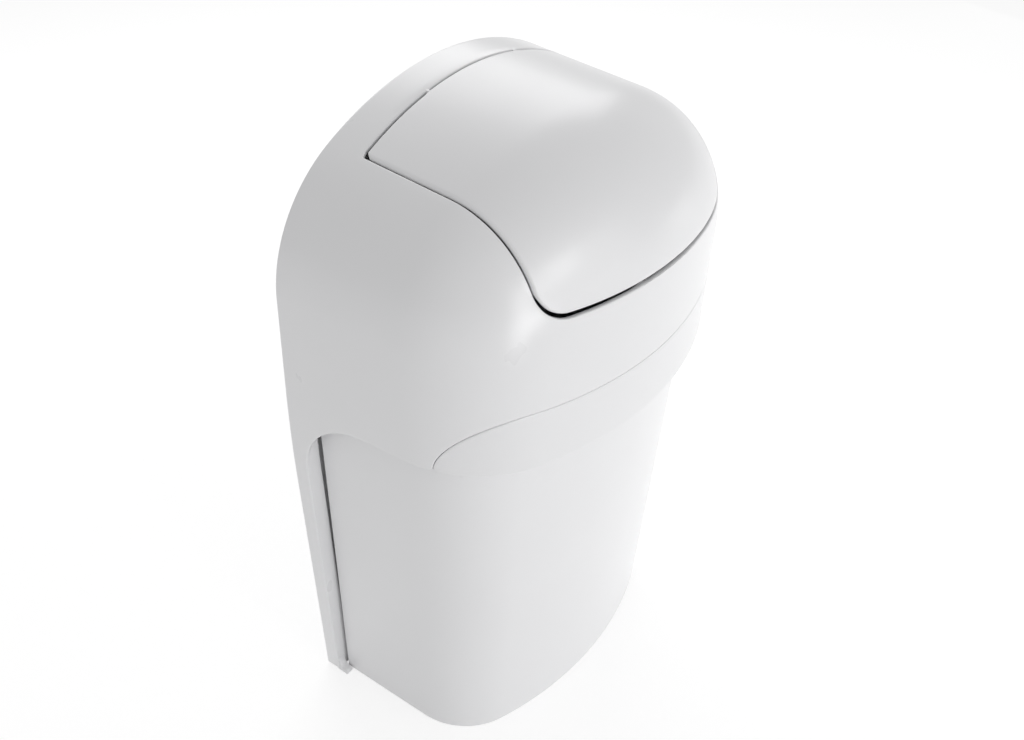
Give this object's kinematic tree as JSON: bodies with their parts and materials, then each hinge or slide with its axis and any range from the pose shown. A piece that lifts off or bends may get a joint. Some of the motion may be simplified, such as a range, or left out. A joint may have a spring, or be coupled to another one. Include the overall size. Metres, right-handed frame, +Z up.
{
  "type": "cabinet door trash can",
  "caption": "Wall or door mounted trash can with a domed hood, a sprung push-in lid in its top and a bin that pulls out forwards by a lip.",
  "frame": {"origin": "centre of the footprint, at the level of the base", "axes": "+Z up, -Y the front with the lip, +Y towards the door that the can is screwed to, X along the door"},
  "size_m": [0.216, 0.127, 0.33],
  "materials": {
    "housing_plastic": "glossy white moulding",
    "lid_plastic": "glossy white moulding",
    "bin_plastic": "glossy white moulding",
    "rod_steel": "drawn steel rod",
    "clip_steel": "stamped spring steel",
    "spring_steel": "drawn spring wire",
    "bumper_rubber": "soft grey pad"
  },
  "bodies": {
    "housing": {"housing": "housing_plastic", "hinge_rod": "rod_steel", "rod_clip_left": "clip_steel", "rod_clip_right": "clip_steel", "lid_spring_left": "spring_steel", "lid_spring_right": "spring_steel"},
    "lid": {"lid": "lid_plastic", "lid_bumper_left": "bumper_rubber", "lid_bumper_right": "bumper_rubber"},
    "bin": {"bin": "bin_plastic"}
  },
  "joints": [
    {"name": "lid_swing", "type": "hinge", "parent": "housing", "child": "lid", "pos_m": [0, 0.0525, 0.316], "axis": [1, 0, 0], "range_deg": [0, 34], "stiffness_Nm_per_rad": 0.06, "springref_deg": -68.75, "deforming": ["lid_spring_left", "lid_spring_right"]},
    {"name": "bin_slide", "type": "slide", "parent": "housing", "child": "bin", "axis": [0, -1, 0], "range_m": [0, 0.11]}
  ]
}
